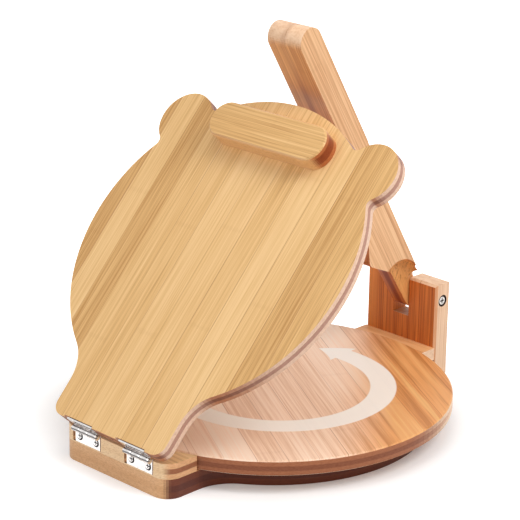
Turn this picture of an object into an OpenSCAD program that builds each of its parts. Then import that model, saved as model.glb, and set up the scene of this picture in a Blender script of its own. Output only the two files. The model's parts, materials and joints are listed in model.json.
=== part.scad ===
// Bamboo tortilla press: a hinged lid closes over a turntable, and a lever on a
// post at the back presses it down. +X runs along the lid hinge, +Y from the hinge
// to the post, +Z up. The origin is on the turntable axis, at the table top.

/* [Lid] */
// Diameter of the lid's round part
lid_d = 250.8; // [240:0.2:256]
// Thickness of the lid
lid_t = 10.8; // [9:0.1:11.6]
// Width of the lid's neck at the hinges
neck_w = 115; // [110:0.5:118]
// Diameter of each ear
ear_d = 47.6; // [43:0.1:50]
// Angle of the lid above the table
lid_angle = 46.8; // [46:0.1:48]

/* [Press block] */
// Length of the block across the lid
block_l = 114; // [90:1:126]
// Width of the block
block_w = 29.5; // [24:0.5:33]
// Height of the block
block_h = 15; // [10:1:18]

/* [Base] */
// Thickness of the base board
board_t = 15.2; // [14:0.1:17]
// Diameter of the base board's round part
board_d = 246; // [236:1:252]
// Width of the hinge block
hinge_block_w = 112.5; // [106:0.5:113]
// Distance from the turntable axis to the front of the hinge block
front_y = 160; // [159:0.5:162]

/* [Turntable] */
// Diameter of the turntable
table_d = 282; // [276:1:283]
// Thickness of the turntable
table_t = 11.7; // [10:0.1:12]
// Gap between the base board and the turntable
table_gap = 0.5; // [0.3:0.1:0.8]

/* [Post] */
// Width of the post
post_w = 73.3; // [68:0.1:78]
// Height of the post
post_h = 78.2; // [76:0.1:82]
// Thickness of the post
post_t = 15.4; // [15:0.1:17]
// Distance from the turntable axis to the front of the post
post_y = 153.6; // [153:0.1:156]
// Width of the slot for the lever's tongue
slot_w = 16; // [15.5:0.1:17]
// Height of the slot's floor
slot_z = 45.4; // [44:0.1:45.6]
// Height of the lever pivot
pivot_z = 64; // [63.8:0.1:65]

/* [Lever] */
// Length from the pivot to the far end of the handle
lever_l = 281.4; // [260:0.1:282]
// Width of the handle
lever_w = 33.6; // [30:0.1:36]
// Depth of the handle
lever_t = 22.3; // [20:0.1:23]
// Width of the tongue
tongue_w = 14.4; // [13:0.1:15]
// Angle of the lever above the table
lever_angle = 58.8; // [58:0.1:60]

/* [Hinges] */
// Distance between the two hinges' centres
hinge_pitch = 55.2; // [50:0.1:57]
// Width of a hinge leaf
leaf_w = 26.5; // [24:0.1:28]
// Height of the leaf on the hinge block
leaf_h = 10.8; // [10:0.1:12]
// Thickness of a leaf
leaf_t = 1.2; // [1:0.1:1.4]
// Radius of a hinge pin
pin_r = 1.2; // [1:0.1:1.3]

/* [Hidden] */
$fn = 96;
eps = 0.01;
snug = 0.03;          // radial gap round parts fixed in a hole
running = 0.05;       // radial gap round parts that turn
pale = [0.87, 0.68, 0.44];
golden = [0.80, 0.58, 0.34];
russet = [0.66, 0.36, 0.18];
chrome = [0.80, 0.81, 0.83];
nylon = [0.92, 0.91, 0.87];

// heights and radii that follow from the board and the turntable
table_r = table_d / 2;
table_z = board_t + table_gap;
table_top = table_z + table_t;
rim_gap = 1.5;        // between the turntable's rim and the blocks round it
ledge_top = table_top - 2;

// hinge axis, and the lid's place on it
pin_out = 2.3;        // pin axis in front of the hinge block
press_gap = 1;        // between the turntable and the closed lid
pin_drop = 0.4;       // pin axis below the closed lid's inner face
lid_inset = 0.2;      // closed lid's end face behind the hinge block's face
pin_y = -front_y - pin_out;
pin_z = table_top + press_gap - pin_drop;
lid_r = lid_d / 2;
lid_c = front_y - lid_inset - 2.4;   // lid's centre from its hinge edge
neck_round = 9.5;
neck_blend = 34;
ear_r = ear_d / 2;
ear_x = 93.9;         // ear centre from the lid's centre
ear_y = 90;
ear_blend = 5.5;
block_c = lid_c + 94.2;                // press block's centre from the hinge edge

// lever's pivot and foot
pivot_y = post_y + post_t / 2;
cutter_r = 23.4;
heel_cut = [26.4, 18]; // the shoulder cut below the heel, in the lever's own frame
bolt_r = 2.5;
head_r = 4;
head_h = 2.2;

// hinge leaf details
knuckle_r = 2.4;
knuckle_n = 3;
recess_w = leaf_w + 3.4;
recess_t = leaf_t + 0.5;
leaf_proud = 0.3;
leaf_shift = 1.3;     // leaf's centre off its recess's centre
hinge_shift = -1;     // middle between the hinges off the board's middle
hole_pitch = 17.4;
leaf_z = pin_z - 0.6 - leaf_h;
lid_leaf_h = lid_t - 0.6;

// ---- placing ----

// the lid's own frame: Y from the hinge edge to the far side, Z out of its outer face
module on_lid() {
    translate([0, pin_y, pin_z])
        rotate([lid_angle, 0, 0])
            translate([0, pin_out + lid_inset, pin_drop + lid_t])
                children();
}

// the lever's own frame: Y from the pivot up the handle, Z out of its front
module on_lever() {
    translate([0, pivot_y, pivot_z])
        rotate([180 - lever_angle, 0, 0])
            children();
}

// a side profile, drawn in Y and Z, spread over a width in X
module across(w) {
    rotate([90, 0, 90])
        linear_extrude(height = w, center = true)
            children();
}

module both_sides() {
    for (side = [0, 1])
        mirror([side, 0, 0])
            children();
}

// ---- shared shapes ----

// the corner between a round board and a straight neck, filled with a concave arc
module neck_fillet(r, half_w, fillet_r, reach) {
    fx = half_w + fillet_r;
    fy = -sqrt(pow(r + fillet_r, 2) - fx * fx);
    difference() {
        polygon([[0, 0], [fx, fy], [half_w, max(fy, -reach)], [0, max(fy, -reach)]]);
        translate([fx, fy])
            circle(r = fillet_r);
    }
}

// point at distance a from the origin and b from p, on the chosen side of the line to p
function meet(p, a, b, side) =
    let (d = norm(p), u = (a * a - b * b + d * d) / (2 * d), v = side * sqrt(a * a - u * u))
    [(u * p[0] - v * p[1]) / d, (u * p[1] + v * p[0]) / d];

// concave arc between the lid's rim and an ear
module ear_fillet(ear, side) {
    f = meet(ear, lid_r + ear_blend, ear_r + ear_blend, side);
    difference() {
        polygon([[0, 0], f, ear]);
        translate(f)
            circle(r = ear_blend);
    }
}

// a rectangle from y0 to y1 with its two lower corners rounded
module end_rounded(w, y0, y1, r) {
    translate([-w / 2, y0 + r])
        square([w, y1 - y0 - r]);
    translate([-w / 2 + r, y0])
        square([w - 2 * r, y1 - y0]);
    both_sides()
        translate([w / 2 - r, y0 + r])
            circle(r = r);
}

// corners [x, y, r] as one outline, each corner rounded with its own radius
function corner_arc(a, b, c, r, n = 8) =
    let (
        p = [b[0], b[1]],
        u = ([a[0], a[1]] - p) / norm([a[0], a[1]] - p),
        v = ([c[0], c[1]] - p) / norm([c[0], c[1]] - p),
        half = acos(u * v) / 2,
        m = p + (u + v) / norm(u + v) * r / sin(half),
        from = p + u * r / tan(half) - m,
        to = p + v * r / tan(half) - m,
        t0 = atan2(from[1], from[0]),
        dt = atan2(from[0] * to[1] - from[1] * to[0], from * to)
    )
    [for (i = [0 : n]) m + r * [cos(t0 + dt * i / n), sin(t0 + dt * i / n)]];

function rounded(pts) =
    let (n = len(pts))
    [for (i = [0 : n - 1])
        each pts[i][2] == 0
            ? [[pts[i][0], pts[i][1]]]
            : corner_arc(pts[(i + n - 1) % n], pts[i], pts[(i + 1) % n], pts[i][2])];

// countersunk wood screw along -Z, its head's face at Z = 0
module screw(size, grow = 0) {
    length = size[0];
    r = size[1];
    cap_r = size[2];
    translate([0, 0, -length - grow])
        cylinder(h = length + grow, r = r + grow, $fn = 32);
    translate([0, 0, -(cap_r - r)])
        cylinder(h = cap_r - r + grow, r1 = r + grow, r2 = cap_r + grow, $fn = 32);
}

module cross_recess(size, depth) {
    for (a = [0, 90])
        rotate([0, 0, a])
            translate([-size / 2, -size / 9, -depth])
                cube([size, size * 2 / 9, 2 * depth]);
}

module crossed_screw(size) {
    difference() {
        screw(size);
        cross_recess(size[2] * 1.2, size[2] * 0.35);
    }
}

// ---- places of the screws ----

module at_hinges() {
    for (side = [-1, 1])
        translate([hinge_shift + side * hinge_pitch / 2, 0, 0])
            children();
}

module at_leaf_holes() {
    for (side = [-1, 1])
        translate([leaf_shift + side * hole_pitch / 2, 0, 0])
            children();
}

module at_base_leaf_screws() {
    at_hinges()
        at_leaf_holes()
            translate([0, -front_y - leaf_proud, leaf_z + leaf_h / 2])
                rotate([90, 0, 0])
                    children();
}

module at_lid_leaf_screws() {
    on_lid()
        at_hinges()
            at_leaf_holes()
                translate([0, -leaf_proud, -lid_t / 2])
                    rotate([90, 0, 0])
                        children();
}

module at_block_screws() {
    on_lid()
        for (side = [-1, 1])
            translate([side * block_l * 0.3, block_c, -lid_t])
                rotate([180, 0, 0])
                    children();
}

module at_hinge_block_screws() {
    for (side = [-1, 0, 1])
        translate([side * (hinge_block_w / 2 - 8.5), -front_y + 8.5 + 4 * abs(side), 0])
            rotate([180, 0, 0])
                children();
}

module at_ledge_screws() {
    for (side = [-1, 1])
        translate([side * 19, post_y - 6.5, 0])
            rotate([180, 0, 0])
                children();
}

// row 0 goes into the base board, row 1 into the rear ledge
module at_post_screws(row) {
    for (side = [-1, 1])
        translate([
            side * (row == 0 ? post_w * 0.38 : post_w * 0.12),
            post_y + post_t,
            row == 0 ? board_t / 2 : (board_t + ledge_top) / 2
        ])
            rotate([-90, 0, 0])
                children();
}

// length, shank radius and head radius of the screws
leaf_screw = [10, 1.3, 2.9];
long_screw = [22, 1.9, 3.8];
block_screw = [20, 1.9, 3.8];
post_screw = [[30, 1.9, 3.8], [24, 1.9, 3.8]];

// ---- base ----

module board_outline() {
    circle(d = board_d, $fn = 180);
    end_rounded(hinge_block_w, -front_y, 0, 13);
    translate([-post_w / 2, 0])
        square([post_w, post_y]);
    both_sides() {
        neck_fillet(board_d / 2, hinge_block_w / 2, 34, front_y - 14);
        mirror([0, 1])
            neck_fillet(board_d / 2, post_w / 2, 14, post_y - 1);
    }
}

module base_board() {
    color(golden)
        difference() {
            linear_extrude(height = board_t)
                board_outline();
            translate([0, 0, board_t - 1])
                cylinder(h = 2, r = 30.2);
            translate([0, 0, 5])
                cylinder(h = board_t, r = 4 + snug);
            at_hinge_block_screws()
                screw(long_screw, snug);
            at_ledge_screws()
                screw(long_screw, snug);
            at_post_screws(0)
                screw(post_screw[0], snug);
        }
}

module hinge_block() {
    color(pale)
        difference() {
            translate([0, 0, board_t])
                linear_extrude(height = table_top - board_t)
                    difference() {
                        end_rounded(hinge_block_w, -front_y, -front_y + 40, 13);
                        circle(r = table_r + rim_gap, $fn = 180);
                    }
            at_hinges()
                translate([-recess_w / 2, -front_y - 1, leaf_z - 0.2])
                    cube([recess_w, 1 + recess_t - leaf_proud, 40]);
            at_base_leaf_screws()
                screw(leaf_screw, snug);
            at_hinge_block_screws()
                screw(long_screw, snug);
        }
}

module rear_ledge() {
    color(golden)
        difference() {
            translate([0, 0, board_t])
                linear_extrude(height = ledge_top - board_t)
                    difference() {
                        translate([-post_w / 2, post_y - 30])
                            square([post_w, 30]);
                        circle(r = table_r + rim_gap, $fn = 180);
                    }
            at_ledge_screws()
                screw(long_screw, snug);
            at_post_screws(1)
                screw(post_screw[1], snug);
        }
}

// ---- post ----

module post() {
    edge = 2.6;
    color(russet)
        difference() {
            translate([-post_w / 2, post_y, 0])
                cube([post_w, post_t, post_h]);
            // bevelled front edges at the top and down both sides
            translate([0, post_y, post_h])
                rotate([45, 0, 0])
                    cube([post_w + 2, edge, edge], center = true);
            for (side = [-1, 1])
                translate([side * post_w / 2, post_y, post_h / 2])
                    rotate([0, 0, 45])
                        cube([edge, edge, post_h + 2], center = true);
            translate([-slot_w / 2, post_y - 1, slot_z])
                cube([slot_w, post_t + 2, post_h]);
            translate([-post_w / 2 - 1, pivot_y, pivot_z])
                rotate([0, 90, 0])
                    cylinder(h = post_w + 2, r = bolt_r + snug);
            translate([-post_w / 2 - 1, pivot_y, pivot_z])
                rotate([0, 90, 0])
                    cylinder(h = post_w / 2 - slot_w / 2 - 4, r = bolt_r + 1.5 + snug);
            for (side = [-1, 1])
                translate([side * post_w / 2, pivot_y, pivot_z])
                    rotate([0, 90, 0])
                        cylinder(h = 2 * (head_h + 0.4), r = head_r + 0.5, center = true);
            for (row = [0, 1])
                at_post_screws(row)
                    screw(post_screw[row], snug);
        }
}

module lever_pivot_bolt() {
    tip = post_w - head_h - 14;
    color(chrome)
        translate([post_w / 2 - 0.4, pivot_y, pivot_z])
            rotate([0, 90, 0])
                difference() {
                    union() {
                        translate([0, 0, -head_h])
                            cylinder(h = head_h, r1 = head_r, r2 = head_r - 0.7);
                        translate([0, 0, -tip])
                            cylinder(h = tip - 0.5, r = bolt_r);
                    }
                    cross_recess(4.6, 1.3);
                }
}

module lever_pivot_nut() {
    sleeve = post_w / 2 - slot_w / 2 - 6.2;
    color(chrome)
        translate([-post_w / 2 + 0.4, pivot_y, pivot_z])
            rotate([0, -90, 0])
                difference() {
                    union() {
                        translate([0, 0, -head_h])
                            cylinder(h = head_h, r1 = head_r, r2 = head_r - 0.7);
                        translate([0, 0, -sleeve])
                            cylinder(h = sleeve - 0.5, r = bolt_r + 1.5);
                    }
                    translate([0, 0, -sleeve - 1])
                        cylinder(h = sleeve - 2, r = bolt_r + snug);
                    cross_recess(4.6, 1.3);
                }
}

// ---- turntable ----

module turntable() {
    bevel = 1.1;
    color(golden)
        difference() {
            translate([0, 0, table_z])
                rotate_extrude($fn = 180)
                    polygon([
                        [0, 0],
                        [table_r - bevel / 2, 0],
                        [table_r, bevel / 2],
                        [table_r, table_t - bevel],
                        [table_r - bevel, table_t],
                        [0, table_t]
                    ]);
            translate([0, 0, table_z - 1])
                cylinder(h = 8, r = 4 + running);
        }
}

module turntable_pivot() {
    color(chrome)
        translate([0, 0, 5])
            cylinder(h = table_z + 6.5 - 5, r = 4);
}

module glide_washer() {
    color(nylon)
        translate([0, 0, board_t - 1])
            difference() {
                cylinder(h = 0.9 + table_gap, r = 30);
                translate([0, 0, -1])
                    cylinder(h = 4, r = 4.3);
            }
}

// ---- lid ----

module lid_outline() {
    end_rounded(neck_w, 0, lid_c, neck_round);
    translate([0, lid_c]) {
        circle(r = lid_r, $fn = 180);
        both_sides() {
            neck_fillet(lid_r, neck_w / 2, neck_blend, lid_c - neck_round);
            translate([ear_x, ear_y])
                circle(r = ear_r);
            for (side = [-1, 1])
                ear_fillet([ear_x, ear_y], side);
        }
    }
}

module lid() {
    color(pale)
        difference() {
            on_lid()
                difference() {
                    translate([0, 0, -lid_t])
                        linear_extrude(height = lid_t)
                            lid_outline();
                    at_hinges()
                        translate([-recess_w / 2, -1, -lid_t - 1])
                            cube([recess_w, 1 + recess_t - leaf_proud, lid_t + 2]);
                }
            at_lid_leaf_screws()
                screw(leaf_screw, snug);
            at_block_screws()
                screw(block_screw, snug);
        }
}

module press_block() {
    bevel = 1.2;
    end_r = 14;
    color(pale)
        difference() {
            on_lid()
                translate([0, block_c, 0])
                    hull() {
                        for (side = [-1, 1], way = [-1, 1])
                            translate([
                                side * (block_l / 2 - end_r),
                                way * (block_w / 2 - end_r),
                                0
                            ]) {
                                cylinder(h = block_h - bevel, r = end_r, $fn = 64);
                                cylinder(h = block_h, r = end_r - bevel, $fn = 64);
                            }
                    }
            at_block_screws()
                screw(block_screw, snug);
        }
}

// ---- lever ----

module lever_profile() {
    front = lever_t / 2 + 0.15;
    back = lever_t / 2 - 0.15;
    tongue_back = 5.2;
    foot_r = 12;
    tip_r = lever_t / 2;
    translate([160, -back])
        square([lever_l - tip_r - 160, lever_t]);
    translate([lever_l - tip_r, 0.15])
        circle(r = tip_r);
    // the handle runs down into a heel, whose nose bears on the press block; its
    // underside runs back to the tongue, which ends round about the pivot
    polygon(rounded([
        [162, front, 0],
        [127, front, 50],
        [68.8, 36.5, 7],
        [37, 13.7, 12],
        [-foot_r, foot_r, foot_r],
        [-foot_r, -tongue_back, 5],
        [104, -tongue_back, 120],
        [162, -back, 0]
    ]));
}

// the shoulders beside the tongue are two plunges of a round cutter with a
// quarter-round edge, one at the pivot and one below the heel
module cutter() {
    cove_r = (lever_w - tongue_w) / 2;
    rotate([0, 90, 0])
        rotate_extrude() {
            square([cutter_r - cove_r, 2 * cove_r]);
            translate([cutter_r - cove_r, cove_r])
                circle(r = cove_r);
        }
}

module shoulder_cut() {
    translate([tongue_w / 2, 0, 0]) {
        cutter();
        translate([0, heel_cut[0], heel_cut[1]])
            cutter();
    }
}

module lever() {
    color(golden)
        on_lever()
            difference() {
                across(lever_w)
                    lever_profile();
                both_sides()
                    shoulder_cut();
                rotate([0, 90, 0])
                    cylinder(h = lever_w + 2, r = bolt_r + running, center = true);
            }
}

// ---- hinges ----

// middle of a hinge's leaves
function hinge_x(side) = hinge_shift + side * hinge_pitch / 2 + leaf_shift;

// knuckle segments of one leaf: even ones on the base leaf, odd ones on the lid leaf
module knuckles(parity, r, gap) {
    step = leaf_w / knuckle_n;
    for (i = [parity : 2 : knuckle_n - 1])
        translate([-leaf_w / 2 + i * step + gap, 0, 0])
            rotate([0, 90, 0])
                cylinder(h = step - 2 * gap, r = r, $fn = 48);
}

// one leaf: a plate hanging from the pin axis, out = plate's outer face behind the axis
module leaf(parity, out, reach, height, hole) {
    difference() {
        union() {
            translate([-leaf_w / 2, out, -reach - height])
                cube([leaf_w, leaf_t, height]);
            knuckles(parity, knuckle_r, 0.1);
        }
        knuckles(1 - parity, knuckle_r + 0.35, -0.15);
        translate([-leaf_w, 0, 0])
            rotate([0, 90, 0])
                cylinder(h = 2 * leaf_w, r = pin_r + running, $fn = 48);
        for (side = [-1, 1])
            translate([side * hole_pitch / 2, out, hole])
                rotate([90, 0, 0])
                    screw(leaf_screw, snug);
    }
}

module base_leaf(side) {
    color(chrome)
        translate([hinge_x(side), pin_y, pin_z])
            leaf(0, pin_out - leaf_proud, 0.6, leaf_h, leaf_z + leaf_h / 2 - pin_z);
}

module lid_leaf(side) {
    rise = pin_drop + lid_t / 2;
    color(chrome)
        translate([hinge_x(side), pin_y, pin_z])
            rotate([lid_angle, 0, 0])
                mirror([0, 0, 1])
                    leaf(1, pin_out + lid_inset - leaf_proud, 0.6, lid_leaf_h, -rise);
}

module hinge_pin(side) {
    color(chrome)
        translate([hinge_x(side) - leaf_w / 2 - 0.4, pin_y, pin_z])
            rotate([0, 90, 0])
                cylinder(h = leaf_w + 0.8, r = pin_r, $fn = 48);
}

module hinge_leaf_base_left() base_leaf(-1);
module hinge_leaf_base_right() base_leaf(1);
module hinge_leaf_lid_left() lid_leaf(-1);
module hinge_leaf_lid_right() lid_leaf(1);
module hinge_pin_left() hinge_pin(-1);
module hinge_pin_right() hinge_pin(1);

// ---- screws ----

module hinge_screws_base() {
    color(chrome)
        at_base_leaf_screws()
            crossed_screw(leaf_screw);
}

module hinge_screws_lid() {
    color(chrome)
        at_lid_leaf_screws()
            crossed_screw(leaf_screw);
}

module press_block_screws() {
    color(chrome)
        at_block_screws()
            crossed_screw(block_screw);
}

module hinge_block_screws() {
    color(chrome)
        at_hinge_block_screws()
            crossed_screw(long_screw);
}

module ledge_screws() {
    color(chrome)
        at_ledge_screws()
            crossed_screw(long_screw);
}

module post_screws() {
    color(chrome)
        for (row = [0, 1])
            at_post_screws(row)
                crossed_screw(post_screw[row]);
}

base_board();
hinge_block();
rear_ledge();
post();
turntable();
turntable_pivot();
glide_washer();
lid();
press_block();
press_block_screws();
lever();
lever_pivot_bolt();
lever_pivot_nut();
hinge_leaf_base_left();
hinge_leaf_base_right();
hinge_leaf_lid_left();
hinge_leaf_lid_right();
hinge_pin_left();
hinge_pin_right();
hinge_screws_base();
hinge_screws_lid();
hinge_block_screws();
ledge_screws();
post_screws();
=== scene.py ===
"""Looks of a bamboo tortilla press: laminated bamboo boards, small steel hinges and
screws, on a pale floor under soft studio light. Metres, in the part's own frame."""

import json
import math

import bpy
from mathutils import Matrix, Vector


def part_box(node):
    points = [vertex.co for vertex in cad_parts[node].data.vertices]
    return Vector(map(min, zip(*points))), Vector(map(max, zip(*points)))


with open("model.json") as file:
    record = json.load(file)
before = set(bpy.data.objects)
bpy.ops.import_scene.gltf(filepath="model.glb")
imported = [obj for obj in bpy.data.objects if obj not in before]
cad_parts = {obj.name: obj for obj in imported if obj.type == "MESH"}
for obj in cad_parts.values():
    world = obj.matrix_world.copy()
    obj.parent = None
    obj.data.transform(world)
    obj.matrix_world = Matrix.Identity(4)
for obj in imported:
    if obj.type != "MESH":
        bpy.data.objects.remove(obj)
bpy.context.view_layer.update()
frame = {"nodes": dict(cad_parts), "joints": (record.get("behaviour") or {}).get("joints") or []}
nodes = frame["nodes"]
joints = {j["name"]: j for j in frame["joints"]}

# ---- places worked out from the frame ----

MM = 0.001
OBJECT_MIDDLE = (0, 0, 0)
ALONG_X = (1, 0, 0)
ALONG_Z = (0, 0, 1)
HINGE = Vector(joints["lid_hinge"]["pos_m"])
PIVOT = Vector(joints["lever_pivot"]["pos_m"])
LID_ANGLE = -math.radians(joints["lid_hinge"]["range_deg"][0])
LEVER_ANGLE = math.radians(58.8)
LID_T = 10.8 * MM
PIN_OUT = 2.5 * MM
PIN_DROP = 0.4 * MM
TABLE_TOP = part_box("turntable")[1].z
TABLE_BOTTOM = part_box("turntable")[0].z
BOARD_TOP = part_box("base_board")[1].z
BLOCK_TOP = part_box("hinge_block")[1].z
BLOCK_FRONT = -160 * MM
LEAF_FRONT = BLOCK_FRONT - 0.3 * MM

# ---- node graphs ----


def linear(rgb):
    """A colour given as 0-255 display values, as the shader's linear values."""
    out = []
    for value in rgb:
        c = value / 255
        out.append(c / 12.92 if c <= 0.04045 else ((c + 0.055) / 1.055) ** 2.4)
    return (*out, 1.0)


class Graph:
    """A material's node tree, built one node at a time."""

    def __init__(self, name):
        self.material = bpy.data.materials.new(name)
        self.material.use_nodes = True
        self.tree = self.material.node_tree
        self.tree.nodes.clear()
        self.shader = self.tree.nodes.new("ShaderNodeBsdfPrincipled")
        output = self.tree.nodes.new("ShaderNodeOutputMaterial")
        self.tree.links.new(self.shader.outputs["BSDF"], output.inputs["Surface"])

    def put(self, socket, value):
        if isinstance(value, bpy.types.NodeSocket):
            self.tree.links.new(value, socket)
        elif value is not None:
            socket.default_value = value

    def node(self, kind, inputs=(), output=0, **settings):
        made = self.tree.nodes.new(kind)
        for key, value in settings.items():
            setattr(made, key, value)
        for key, value in dict(inputs).items():
            self.put(made.inputs[key], value)
        return made.outputs[output]

    def math(self, operation, a, b=None, clamp=False):
        made = self.tree.nodes.new("ShaderNodeMath")
        made.operation = operation
        made.use_clamp = clamp
        for socket, value in zip(made.inputs, (a, b)):
            self.put(socket, value)
        return made.outputs[0]

    def times(self, a, b):
        return self.math("MULTIPLY", a, b)

    def over(self, a, b):
        return self.math("DIVIDE", a, b)

    def plus(self, a, b):
        return self.math("ADD", a, b)

    def minus(self, a, b):
        return self.math("SUBTRACT", a, b)

    def most(self, a, b):
        return self.math("MAXIMUM", a, b)

    def below(self, a, b):
        return self.math("LESS_THAN", a, b)

    def above(self, a, b):
        return self.math("GREATER_THAN", a, b)

    def size(self, a):
        return self.math("ABSOLUTE", a)

    def root(self, a):
        return self.math("SQRT", a)

    def reach(self, a, b):
        """The length of a line that goes a one way and b at right angles to it."""
        return self.root(self.plus(self.times(a, a), self.times(b, b)))

    def centred(self, value):
        """A noise or a random value from 0 to 1, as -0.5 to 0.5."""
        return self.minus(value, 0.5)

    def mix(self, share, a, b, blend="MIX"):
        made = self.tree.nodes.new("ShaderNodeMix")
        made.data_type = "RGBA"
        made.blend_type = blend
        self.put(made.inputs[0], share)
        self.put(made.inputs[6], a)
        self.put(made.inputs[7], b)
        return made.outputs[2]

    def span(self, value, low, high, to_low=0.0, to_high=1.0, smooth=True):
        made = self.tree.nodes.new("ShaderNodeMapRange")
        made.interpolation_type = "SMOOTHSTEP" if smooth else "LINEAR"
        for key, number in zip(range(5), (value, low, high, to_low, to_high)):
            self.put(made.inputs[key], number)
        return made.outputs[0]

    def turned(self, vector, centre, axis, angle):
        return self.node(
            "ShaderNodeVectorRotate",
            {"Vector": vector, "Center": centre, "Axis": axis, "Angle": angle},
            rotation_type="AXIS_ANGLE",
        )

    def object_point(self):
        return self.node("ShaderNodeTexCoord", output="Object")

    def vector(self, x=0.0, y=0.0, z=0.0):
        return self.node("ShaderNodeCombineXYZ", {"X": x, "Y": y, "Z": z})

    def scaled(self, vector, scale, shift=(0, 0, 0)):
        return self.node(
            "ShaderNodeMapping", {"Vector": vector, "Scale": scale, "Location": shift}
        )

    def noise(self, vector, scale, detail=3.0, roughness=0.5):
        return self.node(
            "ShaderNodeTexNoise",
            {"Vector": vector, "Scale": scale, "Detail": detail, "Roughness": roughness},
        )

    def split(self, vector):
        made = self.tree.nodes.new("ShaderNodeSeparateXYZ")
        self.put(made.inputs[0], vector)
        return tuple(made.outputs)

    def surface(self, values):
        """Sets or links the shader's own sockets by their names."""
        for key, value in values.items():
            self.put(self.shader.inputs[key], value)


# ---- bamboo ----

WOOD_ROUGHNESS = 0.42
PLY_RIPPLE = 0.6 * MM
PLY_BLUR = 0.4 * MM
KNOT_SPACING = 230 * MM

# each local frame has the strips side by side along X, the grain along Y, the plies in Z


def lid_frame(graph, point):
    """The closed lid's frame: its hinge edge at Y = 0 and its outer face at Z = 0."""
    flat = graph.turned(point, HINGE, ALONG_X, -LID_ANGLE)
    return graph.scaled(
        flat, (1, 1, 1), (0, -HINGE.y - PIN_OUT, -HINGE.z - PIN_DROP - LID_T)
    )


def lever_frame(graph, point):
    """The lever's frame: its pivot at Y = 0 and its front towards +Z."""
    flat = graph.turned(point, PIVOT, ALONG_X, LEVER_ANGLE - math.pi)
    return graph.scaled(flat, (1, 1, 1), (0, -PIVOT.y, -PIVOT.z))


def upright_frame(graph, point):
    """Grain up the post."""
    return graph.turned(point, OBJECT_MIDDLE, ALONG_X, -math.pi / 2)


def turned_frame(degrees):
    """A flat board whose grain is turned about Z."""

    def place(graph, point):
        return graph.turned(point, OBJECT_MIDDLE, ALONG_Z, math.radians(degrees))

    return place


def block_frame(graph, point):
    """The press block: grain across the lid."""
    return graph.turned(lid_frame(graph, point), OBJECT_MIDDLE, ALONG_Z, math.pi / 2)


def local_normal(g, place):
    """The face's own normal in a piece's local frame: the frame's turn, not its shift."""
    normal = g.node("ShaderNodeNewGeometry", output="True Normal")
    normal = g.node(
        "ShaderNodeVectorTransform", {0: normal},
        vector_type="NORMAL", convert_from="WORLD", convert_to="OBJECT",
    )
    origin = place(g, g.vector())
    tip = place(g, normal)
    return g.node("ShaderNodeVectorMath", {0: tip, 1: origin}, operation="SUBTRACT")


def ramp(g, tone, palette):
    """A tone from 0 to 1 as a colour between a palette's dark, mid and light."""
    made = g.tree.nodes.new("ShaderNodeValToRGB")
    stops = made.color_ramp
    stops.elements[0].position = 0.08
    stops.elements[0].color = linear(palette["dark"])
    stops.elements[1].position = 0.92
    stops.elements[1].color = linear(palette["light"])
    stops.elements.new(0.5).color = linear(palette["mid"])
    g.put(made.inputs[0], tone)
    return made.outputs[0]


def board_edge(g, local, spot, broad, look):
    """The plies that show on a board's edge; the middle one lies crosswise."""
    x, ny, z = spot
    plies, edge, end, round_part = look
    depth = g.plus(z, g.times(g.centred(broad), PLY_RIPPLE))
    low, high = plies
    ply = g.times(
        g.span(depth, low - PLY_BLUR, low + PLY_BLUR),
        g.span(depth, high - PLY_BLUR, high + PLY_BLUR, 1.0, 0.0),
    )
    grit = g.noise(g.scaled(local, (420, 420, 1500)), 1.0, 3.0, 0.6)
    endwise = g.span(ny, 0.45, 0.85)
    # painted shade: within round_part of the middle the edges take the end colours
    if round_part:
        middle = g.span(g.size(x), round_part - 8 * MM, round_part, 1.0, 0.0)
        endwise = g.most(endwise, middle)
    outer = g.mix(endwise, linear(edge[0]), linear(end[0]))
    cross = g.mix(endwise, linear(edge[1]), linear(end[1]))
    layers = g.mix(ply, outer, cross)
    grimy = g.mix(1.0, layers, linear((205, 180, 160)), "MULTIPLY")
    return g.mix(g.span(grit, 0.35, 0.75, 0.0, 0.55), layers, grimy)


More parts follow.
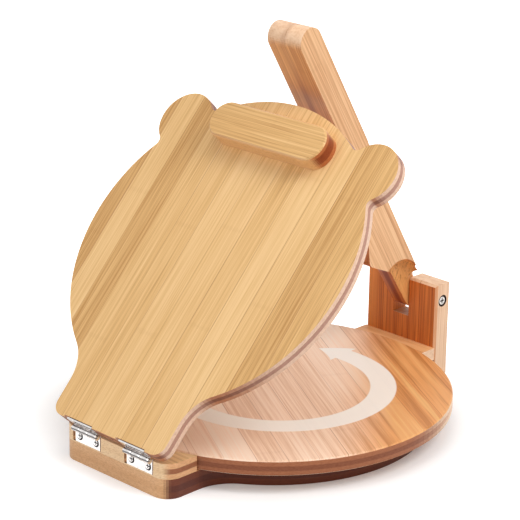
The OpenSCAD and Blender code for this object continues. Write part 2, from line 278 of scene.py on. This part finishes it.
def bamboo(
    name,
    place,
    palette,
    strip=18 * MM,
    shift=0.0,
    seed=40.0,
    variation=1.0,
    side=None,
    side_from=0.0,
    cap=None,
    plies=None,
    edge=None,
    end=None,
    round_part=None,
    overlay=None,
):
    """Strip-laminated bamboo. side is the palette of the faces towards local X that lie
    beyond side_from, cap that of the faces towards local Y. plies are the Z limits of the
    cross ply, edge and end the plies' colours (outer, cross) on the faces towards local X
    and local Y; within round_part of the middle every edge takes the end's, as painted
    shade on a rim under an overhang."""
    g = Graph(name)
    point = g.object_point()
    local = place(g, point)
    x, y, z = g.split(local)
    nx, ny, nz = (g.size(n) for n in g.split(local_normal(g, place)))

    # strips, each with its own tint, and the seams between them
    flank = g.above(nx, 0.7)
    width = g.plus(g.times(flank, g.minus(z, x)), x)
    bend = g.noise(g.scaled(local, (8, 0.6, 8)), 1.0, 1.0)
    across = g.plus(g.over(g.plus(width, shift), strip), seed)
    across = g.plus(across, g.times(g.centred(bend), 0.06))
    index = g.math("FLOOR", across)
    part = g.math("FRACT", across)
    tint = g.node("ShaderNodeTexWhiteNoise", {"W": index}, noise_dimensions="1D")
    lane = g.node(
        "ShaderNodeVectorMath", {0: local, 1: g.vector(x=g.times(index, 7.31))}, operation="ADD"
    )

    # fibres: hair-fine to broad streaks drawn out along the grain
    fine = g.noise(g.scaled(lane, (640, 6, 640)), 1.0, 4.0, 0.66)
    hair = g.noise(g.scaled(lane, (1500, 20, 1500)), 1.0, 2.0, 0.5)
    broad = g.noise(g.scaled(lane, (190, 3.2, 190)), 1.0, 3.0, 0.55)
    cloud = g.noise(g.scaled(lane, (22, 6, 22)), 1.0, 3.0, 0.5)
    tone = 0.5
    for share, value in (
        (0.75 * variation, tint), (0.6 * variation, broad), (1.5, fine), (0.7, hair),
        (0.5 * variation, cloud),
    ):
        tone = g.plus(g.times(g.centred(value), share), tone)
    tone = g.math("ADD", tone, 0.0, clamp=True)
    colour = ramp(g, tone, palette)
    if side:
        outside = g.above(g.size(x), side_from)
        outside = g.times(outside, g.span(nx, 0.6, 0.8))
        colour = g.mix(outside, colour, ramp(g, tone, side))
    if cap:
        mottle = g.noise(g.scaled(local, (130, 400, 260)), 1.0, 3.0, 0.6)
        mottle = g.plus(g.times(tone, 0.4), g.times(mottle, 1.1))
        mottle = g.minus(mottle, 0.2)
        colour = g.mix(g.span(ny, 0.15, 0.75), colour, ramp(g, mottle, cap))
    seam = g.most(g.span(part, 0.0, 0.03, 1.0, 0.0), g.span(part, 0.98, 1.0, 0.0, 1.0))
    seam = g.times(seam, g.span(broad, 0.35, 0.65, 0.05, 0.8))

    # a bamboo joint here and there: a slightly darker band across one strip
    knot_row = g.plus(g.over(y, KNOT_SPACING), g.times(tint, 9.7))
    knot = g.size(g.centred(g.math("FRACT", knot_row)))
    wobble = g.times(g.centred(fine), 0.03)
    knot = g.span(g.plus(knot, wobble), 0.003, 0.012, 0.07, 0.0)
    shade = g.most(seam, g.times(knot, variation))
    colour = g.mix(shade, colour, g.mix(1.0, colour, linear((176, 132, 96)), "MULTIPLY"))
    if overlay:
        colour = overlay(g, point, local, colour, (nx, ny, nz))

    if plies:
        layers = board_edge(g, local, (x, ny, z), broad, (plies, edge, end, round_part))
        colour = g.mix(g.span(nz, 0.35, 0.6, 1.0, 0.0), colour, layers)

    gloss = g.plus(g.times(g.centred(fine), 0.22), WOOD_ROUGHNESS)
    height = g.minus(fine, g.times(seam, 0.8))
    bump = g.node("ShaderNodeBump", {"Strength": 0.2, "Distance": 0.3 * MM, "Height": height})
    g.surface({"Base Color": colour, "Roughness": gloss, "Normal": bump, "Specular IOR Level": 0.3})
    return g.material


# ---- the turntable's painted light and arrow ----

ARROW_CENTRE = (4 * MM, 6 * MM)
ARROW_OUTER = 91 * MM
ARROW_INNER = 71 * MM
ARROW_START = math.radians(-100)
ARROW_END = math.radians(94)
HEAD_TIP = math.radians(110)
HEAD_HALF = 16 * MM
ARROW_BLUR = 0.6 * MM


def turntable_overlay(g, point, local, colour, normal):
    """Painted light: warmer towards the back right, beyond the lid's shade, and more streaked there, with
    the arrow on top.
    """
    x, y, z = g.split(point)
    drift = g.plus(g.times(x, 0.75), g.times(y, 0.66))
    # painted light: the table beyond the lid's shade is painted warmer, and its streaks show there
    beyond_lid_shade = g.span(drift, 45 * MM, 100 * MM, 0.0, 0.9)
    colour = g.mix(beyond_lid_shade, colour, linear((232, 184, 116)), "MULTIPLY")
    streak = g.noise(g.scaled(local, (150, 5, 150)), 1.0, 3.0, 0.6)
    dark = g.times(beyond_lid_shade, g.span(streak, 0.48, 0.66, 0.0, 0.75))
    colour = g.mix(dark, colour, linear((180, 112, 56)))
    light = g.times(beyond_lid_shade, g.span(streak, 0.32, 0.46, 0.55, 0.0))
    colour = g.mix(light, colour, linear((248, 202, 134)))
    mark = g.times(arrow(g, x, y), g.above(z, TABLE_TOP - ARROW_BLUR))
    return g.mix(g.times(mark, 0.92), colour, linear((255, 250, 242)))


def arrow(g, x, y):
    """The pale curved arrow for the way the table turns."""
    ax = g.minus(x, ARROW_CENTRE[0])
    ay = g.minus(y, ARROW_CENTRE[1])
    radius = g.reach(ax, ay)
    angle = g.math("ARCTAN2", ay, ax)
    band = g.times(
        g.span(radius, ARROW_INNER - ARROW_BLUR, ARROW_INNER + ARROW_BLUR),
        g.span(radius, ARROW_OUTER - ARROW_BLUR, ARROW_OUTER + ARROW_BLUR, 1.0, 0.0),
    )
    band = g.times(band, g.above(angle, ARROW_START))
    band = g.times(band, g.below(angle, ARROW_END))
    off_line = g.size(g.minus(radius, (ARROW_INNER + ARROW_OUTER) / 2))
    taper = g.span(angle, ARROW_END, HEAD_TIP, HEAD_HALF, 0.0, smooth=False)
    head = g.times(g.below(off_line, taper), g.above(angle, ARROW_END - 0.001))
    return g.most(band, head)


# ---- marks of the lever, the post and the hinge recesses ----

SHOULDER_HALF = 16.5 * MM
SHOULDER_TOP = 50 * MM
POST_SIDE = 34 * MM
BOLT_GAP = (3.6 * MM, 4.9 * MM)
RECESS_REACH = 44.2 * MM
RECESS_LOW = 16 * MM
# painted shade for gaps, holes and the walls of recesses
PAINTED_GAP_SHADE = (52, 26, 16)


def lever_overlay(g, point, local, colour, normal):
    """A reddish stripe down the middle of the lever's front, painted shade that darkens the front towards
    the heel, near the lid, and the short dark strokes where the shoulders cut across the layers."""
    x, y, z = g.split(local)
    stray = g.noise(g.scaled(local, (60, 5, 60)), 1.0, 2.0)
    off = g.plus(x, g.times(g.centred(stray), 8 * MM))
    stripe = g.span(g.size(off), 1 * MM, 5 * MM, 1.0, 0.0)
    stripe = g.times(stripe, g.span(y, 170 * MM, 270 * MM, 1.0, 0.25))
    flat = g.span(normal[0], 0.3, 0.5, 1.0, 0.0)
    colour = g.mix(g.times(g.times(stripe, flat), 0.9), colour, linear((146, 74, 44)))
    # painted shade: the front darkens towards the heel, near the lid
    painted_heel_shade = g.times(g.span(y, 150 * MM, 240 * MM, 0.7, 0.0), flat)
    colour = g.mix(painted_heel_shade, colour, linear((214, 150, 100)), "MULTIPLY")

    foot = g.times(g.span(normal[0], 0.15, 0.3), g.span(y, SHOULDER_TOP, SHOULDER_TOP + 4 * MM, 1.0, 0.0))
    foot = g.times(g.below(g.size(x), SHOULDER_HALF), foot)
    colour = g.mix(g.times(foot, 0.7), colour, linear((232, 168, 98)))
    leaning = g.turned(local, OBJECT_MIDDLE, ALONG_X, math.radians(35))
    curls = g.noise(g.scaled(leaning, (350, 260, 900)), 1.0, 2.0, 0.6)
    strokes = g.times(foot, g.span(curls, 0.52, 0.64))
    strokes = g.times(strokes, g.span(y, 12 * MM, 24 * MM))
    return g.mix(g.times(strokes, 0.55), colour, linear((150, 92, 46)))


def off_pivot(g, point):
    """The distance from the lever's pivot axis."""
    x, y, z = g.split(point)
    return g.reach(g.minus(y, PIVOT.y), g.minus(z, PIVOT.z))


def post_overlay(g, point, local, colour, normal):
    """The post's front is lighter towards its left edge, and the hole round the bolt gets painted shade.
    """
    x = g.split(point)[0]
    left = g.span(x, -POST_SIDE, -20 * MM, 0.75, 0.0)
    left = g.times(left, g.below(normal[0], 0.5))
    colour = g.mix(left, colour, linear((250, 164, 88)))
    off = off_pivot(g, point)
    # painted shade in the hole round the bolt's head
    gap = g.times(g.below(off, BOLT_GAP[1]), g.above(off, BOLT_GAP[0]))
    gap = g.times(gap, g.above(x, POST_SIDE))
    return g.mix(gap, colour, linear(PAINTED_GAP_SHADE))


def hinge_block_overlay(g, point, local, colour, normal):
    """The walls of the hinge recesses in the block's front lie in deep shade."""
    x, y, z = g.split(point)
    front = g.span(y, BLOCK_FRONT + 0.1 * MM, BLOCK_FRONT + 0.3 * MM)
    within = g.times(front, g.below(y, BLOCK_FRONT + 3 * MM))
    within = g.times(within, g.below(g.size(x), RECESS_REACH))
    within = g.times(within, g.above(z, RECESS_LOW))
    wall = g.most(g.above(normal[1], 0.6), g.below(z, BLOCK_TOP - 2 * MM))
    return g.mix(g.times(within, wall), colour, linear(PAINTED_GAP_SHADE))


def lid_overlay(g, point, local, colour, normal):
    """So do the walls of the recesses in the lid's hinge edge."""
    x, y, z = g.split(local)
    within = g.times(g.span(y, 0.1 * MM, 0.3 * MM), g.below(y, 2 * MM))
    within = g.times(within, g.below(g.size(x), RECESS_REACH))
    return g.mix(g.times(within, g.above(normal[0], 0.6)), colour, linear(PAINTED_GAP_SHADE))


# ---- metal and plastic ----


HINGES_MIDDLE = 0.3 * MM  # the leaves' middle, a little right of the board's
HINGE_PITCH = 55.2 * MM
HOLE_PITCH = 17.4 * MM
HOLE_HEIGHT = 22 * MM
SCREW_ROW = [
    HINGES_MIDDLE + hinge * HINGE_PITCH / 2 + hole * HOLE_PITCH / 2
    for hinge in (-1, 1)
    for hole in (-1, 1)
]
RING_REACH = 3.4 * MM
RING_LEAD = 0.8 * MM
BARREL_REACH = 3 * MM
CROSS_FLOOR = 0.12 * MM  # how far a cross lies behind its screw's face, at least


def metal(name, colour, roughness, painted_dark=None):
    """Polished steel. An optional mask function, called with (g, point), gives where it is painted dark:
    painted shade in hollows and gaps, and painted dark reflections.
    """
    g = Graph(name)
    point = g.object_point()
    wear = g.noise(g.scaled(point, (420, 420, 420)), 1.0, 4.0, 0.6)
    brush = g.noise(g.scaled(point, (60, 2600, 2600)), 1.0, 2.0, 0.5)
    tone = g.mix(g.span(wear, 0.3, 0.75), linear(colour), linear([c * 0.92 for c in colour]))
    # painted shade and painted dark reflections, where the mask says
    if painted_dark:
        tone = g.mix(painted_dark(g, point), tone, linear((30, 25, 24)))
    gloss = g.plus(g.times(wear, 0.16), roughness - 0.06)
    bump = g.node("ShaderNodeBump", {"Strength": 0.06, "Distance": 0.1 * MM, "Height": brush})
    g.surface({"Base Color": tone, "Roughness": gloss, "Normal": bump, "Metallic": 1.0})
    return g.material


def crescent(g, across, up):
    """Painted shade in the gap round a screw's head, thicker on its right."""
    outer = g.below(g.reach(across, up), RING_REACH)
    inner = g.above(g.reach(g.plus(across, RING_LEAD), up), RING_REACH - RING_LEAD)
    return g.times(outer, inner)


def screw_rings(g, point):
    """The painted shade crescents of the base leaves' four screws."""
    x, y, z = g.split(point)
    up = g.minus(z, HOLE_HEIGHT)
    rings = 0.0
    for centre in SCREW_ROW:
        rings = g.most(crescent(g, g.minus(x, centre), up), rings)
    return g.times(rings, g.below(y, LEAF_FRONT + 1.1 * MM))


def barrel_bands(g, point):
    """The dark reflections along a hinge's barrel, by the angle round its pin."""
    x, y, z = g.split(point)
    out = g.minus(HINGE.y, y)
    up = g.minus(z, HINGE.z)
    angle = g.math("ARCTAN2", up, out)
    bands = 0.0
    for low, high in ((-0.2, 0.3), (0.95, 1.35)):
        band = g.times(
            g.span(angle, low - 0.1, low + 0.05), g.span(angle, high - 0.05, high + 0.1, 1.0, 0.0)
        )
        bands = g.most(band, bands)
    return g.times(bands, g.below(g.reach(out, up), BARREL_REACH))


# painted shade round the leaves' screws and painted dark reflections along the barrels
def leaf_shade_and_reflections(g, point):
    return g.most(screw_rings(g, point), g.times(barrel_bands(g, point), 0.85))


# painted shade in the base screws' crosses and round their heads
def base_screw_shade(g, point):
    cross = g.above(g.split(point)[1], LEAF_FRONT + CROSS_FLOOR)
    return g.most(cross, screw_rings(g, point))


# painted shade in the lid screws' crosses
def lid_screw_shade(g, point):
    return g.above(g.split(lid_frame(g, point))[1], LEAF_FRONT - BLOCK_FRONT + CROSS_FLOOR)


def bolt_shade(g, point):
    """Painted shade in the bolt's cross and round the rim of its head."""
    off = off_pivot(g, point)
    deep = g.below(g.size(g.split(point)[0]), 36.1 * MM)
    cross = g.times(deep, g.below(off, 2.5 * MM))
    return g.most(cross, g.span(off, 3.3 * MM, BOLT_GAP[0]))


def nylon(name):
    g = Graph(name)
    mottle = g.noise(g.scaled(g.object_point(), (150, 150, 150)), 1.0, 3.0)
    tone = g.mix(mottle, linear((238, 236, 226)), linear((222, 219, 207)))
    g.surface({"Base Color": tone, "Roughness": g.span(mottle, 0.2, 0.8, 0.45, 0.6)})
    return g.material


# ---- finish on each CAD piece ----


def shade(mesh):
    """Broad flat faces are shaded flat, so that nothing smears across them, the rest smooth."""
    facing = {}
    for face in mesh.polygons:
        way = tuple(round(c, 3) for c in face.normal)
        facing.setdefault(way, []).append(face)
    whole = sum(face.area for face in mesh.polygons)
    for faces in facing.values():
        broad = sum(face.area for face in faces) > 0.01 * whole
        for face in faces:
            face.use_smooth = not broad


def soften(name, width, angle=35, segments=3):
    """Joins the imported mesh's faces and rounds its sharp edges a little."""
    piece = nodes[name]
    weld = piece.modifiers.new("weld", "WELD")
    weld.merge_threshold = 2e-6
    flat = piece.modifiers.new("flat", "DECIMATE")
    flat.decimate_type = "DISSOLVE"
    flat.angle_limit = math.radians(0.3)
    bevel = piece.modifiers.new("bevel", "BEVEL")
    bevel.width = width
    bevel.segments = segments
    bevel.limit_method = "ANGLE"
    bevel.angle_limit = math.radians(angle)
    bevel.harden_normals = True
    bevel.use_clamp_overlap = True
    shade(piece.data)


def paint(material, *names):
    for name in names:
        data = nodes[name].data
        data.materials.clear()
        data.materials.append(material)


PALE = dict(light=(240, 200, 144), mid=(223, 178, 118), dark=(190, 140, 82))
GOLD = dict(light=(246, 194, 140), mid=(230, 170, 112), dark=(196, 132, 80))
PINK = dict(light=(255, 230, 208), mid=(254, 219, 191), dark=(228, 182, 146))
RUST = dict(light=(248, 166, 92), mid=(228, 140, 72), dark=(180, 98, 50))
SIDE = dict(light=(250, 212, 168), mid=(240, 192, 144), dark=(208, 152, 104))
BLUSH = dict(light=(250, 216, 186), mid=(238, 198, 162), dark=(214, 164, 126))

# the lid's end colours, on the edges towards local Y, are end grain, darkened further as painted shade
lid_bamboo = bamboo(
    "lid_bamboo", lid_frame, PALE, strip=21 * MM, shift=4 * MM, seed=75.0,
    variation=0.75, plies=(-7.2 * MM, -3.6 * MM), overlay=lid_overlay,
    edge=((240, 204, 178), (190, 142, 122)), end=((180, 112, 72), (126, 68, 40)),
)
block_bamboo = bamboo(
    "block_bamboo", block_frame, PALE, strip=15 * MM, variation=0.5, side=SIDE,
    plies=(4 * MM, 11 * MM), edge=((236, 188, 132), (234, 186, 130)),
    end=((190, 112, 66), (148, 70, 36)),
)
lever_bamboo = bamboo(
    "lever_bamboo", lever_frame, GOLD, strip=16.8 * MM, variation=0.8, side=SIDE,
    side_from=16 * MM, cap=BLUSH, overlay=lever_overlay,
)
table_bamboo = bamboo(
    "table_bamboo", turned_frame(-59), PINK, strip=22 * MM, variation=0.8,
    plies=(TABLE_BOTTOM + 3.6 * MM, TABLE_BOTTOM + 7.4 * MM),
    edge=((255, 226, 192), (238, 188, 150)), end=((168, 104, 68), (140, 80, 50)),
    overlay=turntable_overlay,
)
# painted shade: the round rim under the turntable's overhang takes the dark end colours all round
board_bamboo = bamboo(
    "board_bamboo", turned_frame(90), GOLD, strip=24 * MM,
    plies=(5 * MM, 10 * MM), edge=((232, 184, 136), (226, 176, 128)),
    end=((112, 56, 34), (92, 42, 26)), round_part=135 * MM,
)
hinge_bamboo = bamboo(
    "hinge_bamboo", turned_frame(90), PALE, strip=24 * MM,
    plies=(BOARD_TOP + 4 * MM, BOARD_TOP + 8 * MM),
    edge=((250, 216, 172), (246, 210, 164)), end=((232, 178, 130), (158, 98, 64)),
    overlay=hinge_block_overlay,
)
ledge_bamboo = bamboo("ledge_bamboo", turned_frame(90), GOLD, strip=20 * MM, cap=BLUSH)
post_bamboo = bamboo(
    "post_bamboo", upright_frame, RUST, strip=19 * MM, variation=0.6, side=BLUSH,
    side_from=30 * MM, cap=BLUSH, overlay=post_overlay,
)

hinge_steel = metal("hinge_steel", (238, 234, 232), 0.14, leaf_shade_and_reflections)
screw_steel = metal("screw_steel", (196, 192, 188), 0.25)
base_screw_steel = metal("base_screw_steel", (232, 228, 226), 0.2, base_screw_shade)
lid_screw_steel = metal("lid_screw_steel", (232, 228, 226), 0.2, lid_screw_shade)
bolt_steel = metal("bolt_steel", (190, 186, 182), 0.25, bolt_shade)
glide_nylon = nylon("glide_nylon")

paint(lid_bamboo, "lid")
paint(block_bamboo, "press_block")
paint(lever_bamboo, "lever")
paint(table_bamboo, "turntable")
paint(board_bamboo, "base_board")
paint(hinge_bamboo, "hinge_block")
paint(ledge_bamboo, "rear_ledge")
paint(post_bamboo, "post")
paint(glide_nylon, "glide_washer")
paint(
    hinge_steel, "hinge_leaf_base_left", "hinge_leaf_base_right", "hinge_leaf_lid_left",
    "hinge_leaf_lid_right", "hinge_pin_left", "hinge_pin_right",
)
paint(
    screw_steel, "turntable_pivot", "press_block_screws", "hinge_block_screws",
    "ledge_screws", "post_screws",
)
paint(base_screw_steel, "hinge_screws_base")
paint(lid_screw_steel, "hinge_screws_lid")
paint(bolt_steel, "lever_pivot_bolt", "lever_pivot_nut")

for wooden in ("lid", "press_block", "base_board", "hinge_block", "rear_ledge"):
    soften(wooden, 0.7 * MM)
soften("lever", 0.3 * MM, 50)
soften("turntable", 0.4 * MM, 25)
soften("post", 0.5 * MM)
for fitting in (
    "hinge_leaf_base_left", "hinge_leaf_base_right", "hinge_leaf_lid_left",
    "hinge_leaf_lid_right", "hinge_screws_base", "hinge_screws_lid",
    "lever_pivot_bolt", "lever_pivot_nut",
):
    soften(fitting, 0.15 * MM, 40, 2)

# ---- floor and light ----

FLOOR_LIFT = 0.14
FLOOR_FADE = (0.11, 0.27)


def seen_rays(tree):
    """1 for the rays by which the camera sees a white ground, also by way of a piece."""
    path = tree.nodes.new("ShaderNodeLightPath").outputs
    seen = path["Is Camera Ray"]
    for ray in ("Is Glossy Ray", "Is Transmission Ray"):
        either = tree.nodes.new("ShaderNodeMath")
        either.operation = "MAXIMUM"
        tree.links.new(seen, either.inputs[0])
        tree.links.new(path[ray], either.inputs[1])
        seen = either.outputs[0]
    return seen


def stage_floor():
    """A pale floor that fades to white away from the press and keeps its shadow."""
    bpy.ops.mesh.primitive_plane_add(size=60, location=(0, 0, 0))
    floor = bpy.context.object
    floor.name = "floor"
    g = Graph("floor_paint")
    g.surface({"Base Color": (0.8, 0.8, 0.8, 1), "Roughness": 0.9, "Specular IOR Level": 0.05})
    x, y, z = g.split(g.object_point())
    away = g.reach(x, y)
    lift = g.times(seen_rays(g.tree), g.span(away, *FLOOR_FADE, FLOOR_LIFT, 1.0))
    g.surface({"Emission Color": (1, 1, 1, 1), "Emission Strength": lift})
    floor.data.materials.append(g.material)


def white_world(light_level):
    """A plain white ground to look at, which lights the press at light_level only."""
    world = bpy.data.worlds.new("studio")
    bpy.context.scene.world = world
    world.use_nodes = True
    tree = world.node_tree
    tree.nodes.clear()
    glow = tree.nodes.new("ShaderNodeBackground")
    glow.inputs["Color"].default_value = (1, 1, 1, 1)
    glow.inputs["Strength"].default_value = light_level
    white = tree.nodes.new("ShaderNodeBackground")
    white.inputs["Color"].default_value = (1, 1, 1, 1)
    white.inputs["Strength"].default_value = 1.0
    choose = tree.nodes.new("ShaderNodeMixShader")
    tree.links.new(seen_rays(tree), choose.inputs[0])
    tree.links.new(glow.outputs[0], choose.inputs[1])
    tree.links.new(white.outputs[0], choose.inputs[2])
    output = tree.nodes.new("ShaderNodeOutputWorld")
    tree.links.new(choose.outputs[0], output.inputs["Surface"])


def direction(azimuth, elevation):
    """The way from the press to a lamp or the camera, in degrees; 0, 0 is the front."""
    a = math.radians(azimuth)
    e = math.radians(elevation)
    return Vector((math.sin(a) * math.cos(e), -math.cos(a) * math.cos(e), math.sin(e)))


def softbox(name, azimuth, elevation, distance, size, power):
    """An area lamp that looks at the press, placed by its direction from it."""
    aim = Vector((0, 0, 0.1))
    way = direction(azimuth, elevation)
    data = bpy.data.lights.new(name, "AREA")
    data.shape = "DISK"
    data.size = size
    data.energy = power
    lamp = bpy.data.objects.new(name, data)
    lamp.location = aim + distance * way
    lamp.rotation_euler = (-way).to_track_quat("-Z", "Y").to_euler()
    bpy.context.scene.collection.objects.link(lamp)


stage_floor()
white_world(light_level=0.41)
softbox("key_right", azimuth=100, elevation=48, distance=1.6, size=0.8, power=13)
softbox("front_fill", azimuth=-5, elevation=30, distance=2.0, size=1.4, power=9)
softbox("overhead", azimuth=30, elevation=85, distance=1.7, size=1.2, power=7)

# ---- camera ----

CAMERA_AZIMUTH = 44.02
CAMERA_ELEVATION = 19.42
CAMERA_ROLL = 0.91
CAMERA_DISTANCE = 1.6903
PHOTO_SIDE = 520
FOCAL_PIXELS = 2193.3
ORIGIN_PIXEL = (267.99, 416.84)


def camera():
    """Set by the frame's origin: its pixel in the photo and its distance from the lens."""
    azimuth = math.radians(CAMERA_AZIMUTH)
    roll = math.radians(CAMERA_ROLL)
    back = direction(CAMERA_AZIMUTH, CAMERA_ELEVATION)
    level = Vector((math.cos(azimuth), math.sin(azimuth), 0))
    rise = back.cross(level)
    right = math.cos(roll) * level + math.sin(roll) * rise
    up = -math.sin(roll) * level + math.cos(roll) * rise
    half = PHOTO_SIDE / 2
    off_right = (ORIGIN_PIXEL[0] - half) / FOCAL_PIXELS * CAMERA_DISTANCE
    off_up = -(ORIGIN_PIXEL[1] - half) / FOCAL_PIXELS * CAMERA_DISTANCE
    place = CAMERA_DISTANCE * back - off_right * right - off_up * up
    data = bpy.data.cameras.new("camera")
    data.sensor_width = 36
    data.lens = FOCAL_PIXELS / PHOTO_SIDE * data.sensor_width
    data.clip_end = 100
    eye = bpy.data.objects.new("camera", data)
    turn = Matrix((right, up, back)).transposed()
    eye.matrix_world = Matrix.Translation(place) @ turn.to_4x4()
    bpy.context.scene.collection.objects.link(eye)
    bpy.context.scene.camera = eye


camera()
bpy.context.scene.view_settings.view_transform = "Standard"
